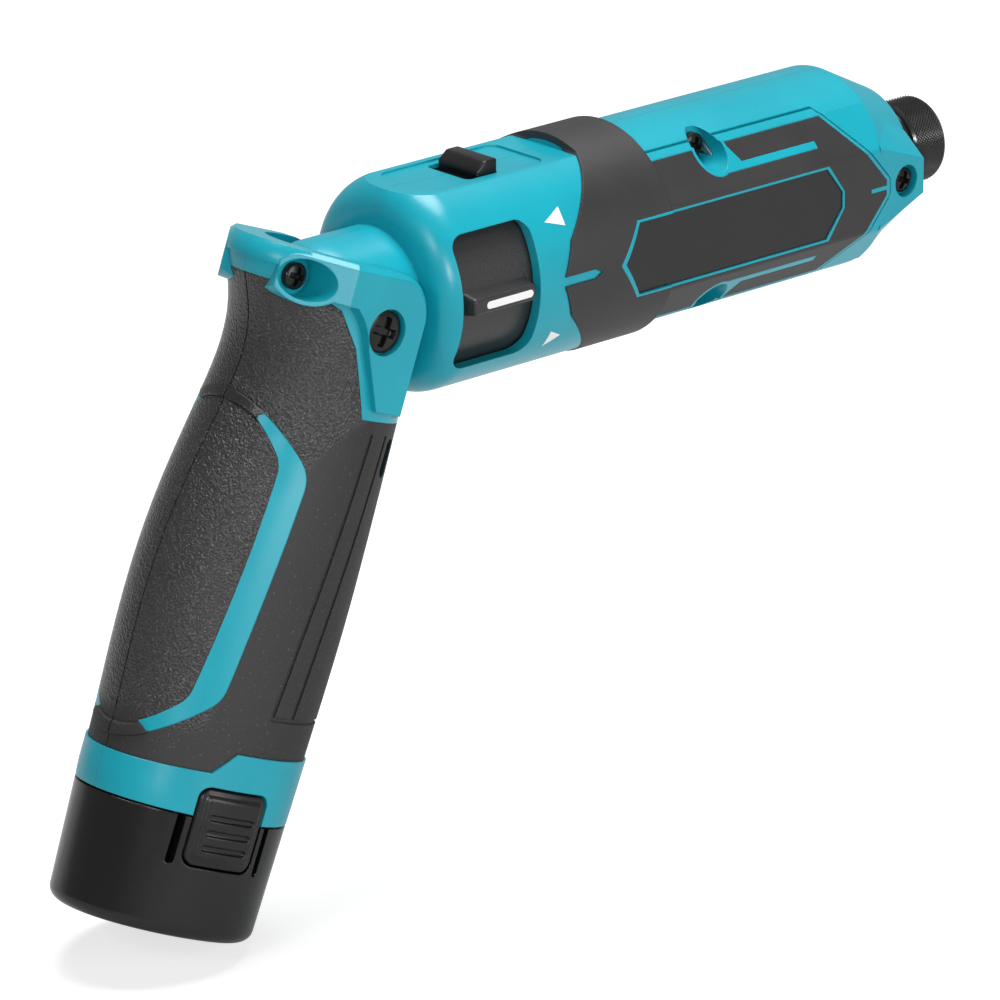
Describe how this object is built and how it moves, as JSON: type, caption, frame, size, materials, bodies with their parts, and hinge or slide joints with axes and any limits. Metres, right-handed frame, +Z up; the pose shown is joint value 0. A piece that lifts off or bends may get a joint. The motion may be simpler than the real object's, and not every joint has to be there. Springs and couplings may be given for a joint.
{
  "type": "folding pencil impact driver",
  "caption": "Cordless pencil impact driver with a folding handle, side-fin trigger, knurled hex bit sleeve and slide-in battery.",
  "frame": {"origin": "centre of the bit socket's mouth, on the barrel axis", "axes": "+X along the barrel out of the bit socket, +Y to the tool's left, +Z up with the handle folded down"},
  "size_m": [0.226, 0.0448, 0.1419],
  "materials": {
    "teal_plastic": "fine moulded satin",
    "black_rubber": "leathery soft-touch grain",
    "plate_black": "smooth satin film",
    "screw_black": "black oxide",
    "black_plastic": "moulded satin",
    "battery_plastic": "fine semi-gloss",
    "cell_wrap": "shrink wrap",
    "cast_aluminium": "as cast",
    "bronze": "sintered",
    "steel": "ground",
    "dark_steel": "black phosphate",
    "zinc_steel": "zinc plated",
    "magnet": "sintered ferrite",
    "carbon": "pressed carbon"
  },
  "bodies": {
    "barrel": {"housing_right": "teal_plastic", "housing_left": "teal_plastic", "barrel_rubber_right": "black_rubber", "barrel_rubber_left": "black_rubber", "rating_plate": "plate_black", "housing_screws": "screw_black", "nose_screws": "screw_black", "hammer_case": "cast_aluminium", "anvil_bush": "bronze", "ring_gear": "steel", "carrier_bearing": "steel", "motor_can": "zinc_steel", "motor_magnets": "magnet", "motor_end_bell": "black_plastic", "motor_rear_bearing": "bronze", "motor_front_bearing": "bronze", "brushes": "carbon", "brush_holder": "black_plastic", "switch_body": "black_plastic"},
    "trigger": {"trigger_drum": "black_plastic"},
    "lock": {"lock_slider": "black_plastic"},
    "rotor": {"armature": "steel", "commutator": "bronze", "motor_shaft": "steel"},
    "spindle": {"spindle": "steel", "planet_pins": "steel", "hammer_spring": "steel"},
    "planet_1": {"planet_gear_1": "steel"},
    "planet_2": {"planet_gear_2": "steel"},
    "planet_3": {"planet_gear_3": "steel"},
    "cam": {"cam_balls": "steel"},
    "hammer": {"hammer": "dark_steel"},
    "anvil": {"anvil": "dark_steel", "detent_balls": "steel", "stop_ring": "dark_steel", "sleeve_spring": "steel"},
    "sleeve": {"bit_sleeve": "dark_steel"},
    "handle": {"handle_right": "teal_plastic", "handle_left": "teal_plastic", "grip_rubber_right": "black_rubber", "grip_rubber_left": "black_rubber", "hinge_pin": "steel", "pivot_screws": "screw_black", "yoke_screw": "screw_black", "terminal_block": "black_plastic", "terminal_blades": "bronze"},
    "battery": {"battery_case": "battery_plastic", "battery_cells": "cell_wrap", "battery_cap": "battery_plastic"},
    "button_right": {"release_button_right": "battery_plastic"},
    "button_left": {"release_button_left": "battery_plastic"}
  },
  "joints": [
    {"name": "fold_hinge", "type": "hinge", "parent": "barrel", "child": "handle", "pos_m": [-0.1607, 0, -0.0013], "axis": [0, 1, 0], "range_deg": [0, 69]},
    {"name": "trigger_turn", "type": "hinge", "parent": "barrel", "child": "trigger", "pos_m": [-0.1325, 0, 0], "axis": [1, 0, 0], "range_deg": [-10, 10], "stiffness_Nm_per_rad": 0.25},
    {"name": "lock_slide", "type": "slide", "parent": "barrel", "child": "lock", "axis": [-1, 0, 0], "range_m": [0, 0.0025]},
    {"name": "spindle_spin", "type": "hinge", "parent": "barrel", "child": "spindle", "pos_m": [-0.061, 0, 0], "axis": [1, 0, 0], "continuous": true},
    {"name": "rotor_spin", "type": "hinge", "parent": "barrel", "child": "rotor", "pos_m": [-0.09, 0, 0], "axis": [1, 0, 0], "continuous": true},
    {"name": "anvil_spin", "type": "hinge", "parent": "barrel", "child": "anvil", "pos_m": [0, 0, 0], "axis": [1, 0, 0], "continuous": true},
    {"name": "planet_1_spin", "type": "hinge", "parent": "spindle", "child": "planet_1", "pos_m": [-0.0659, 0.0084, 0], "axis": [1, 0, 0], "continuous": true},
    {"name": "planet_2_spin", "type": "hinge", "parent": "spindle", "child": "planet_2", "pos_m": [-0.0659, -0.0042, 0.00727], "axis": [1, 0, 0], "continuous": true},
    {"name": "planet_3_spin", "type": "hinge", "parent": "spindle", "child": "planet_3", "pos_m": [-0.0659, -0.0042, -0.00727], "axis": [1, 0, 0], "continuous": true},
    {"name": "hammer_slide", "type": "slide", "parent": "spindle", "child": "hammer", "axis": [-1, 0, 0], "range_m": [0, 0.006], "stiffness_N_per_m": 2500, "springref_m": -0.002, "deforming": ["hammer_spring"]},
    {"name": "cam_slide", "type": "slide", "parent": "spindle", "child": "cam", "axis": [-1, 0, 0], "range_m": [0, 0.003]},
    {"name": "sleeve_slide", "type": "slide", "parent": "anvil", "child": "sleeve", "axis": [1, 0, 0], "range_m": [0, 0.0034], "stiffness_N_per_m": 800, "springref_m": -0.001, "deforming": ["sleeve_spring"]},
    {"name": "battery_slide", "type": "slide", "parent": "handle", "child": "battery", "axis": [-0.3584, 0, -0.9336], "range_m": [0, 0.085]},
    {"name": "release_right", "type": "slide", "parent": "battery", "child": "button_right", "axis": [0, 1, 0], "range_m": [0, 0.0012], "stiffness_N_per_m": 400, "springref_m": -0.001},
    {"name": "release_left", "type": "slide", "parent": "battery", "child": "button_left", "axis": [0, -1, 0], "range_m": [0, 0.0012], "stiffness_N_per_m": 400, "springref_m": -0.001}
  ],
  "couplings": [
    {"joint": "rotor_spin", "follows": "spindle_spin", "ratio": 4.8},
    {"joint": "anvil_spin", "follows": "spindle_spin", "ratio": 1},
    {"joint": "planet_1_spin", "follows": "spindle_spin", "ratio": -2.7143},
    {"joint": "planet_2_spin", "follows": "spindle_spin", "ratio": -2.7143},
    {"joint": "planet_3_spin", "follows": "spindle_spin", "ratio": -2.7143},
    {"joint": "cam_slide", "follows": "hammer_slide", "ratio": 0.5}
  ]
}
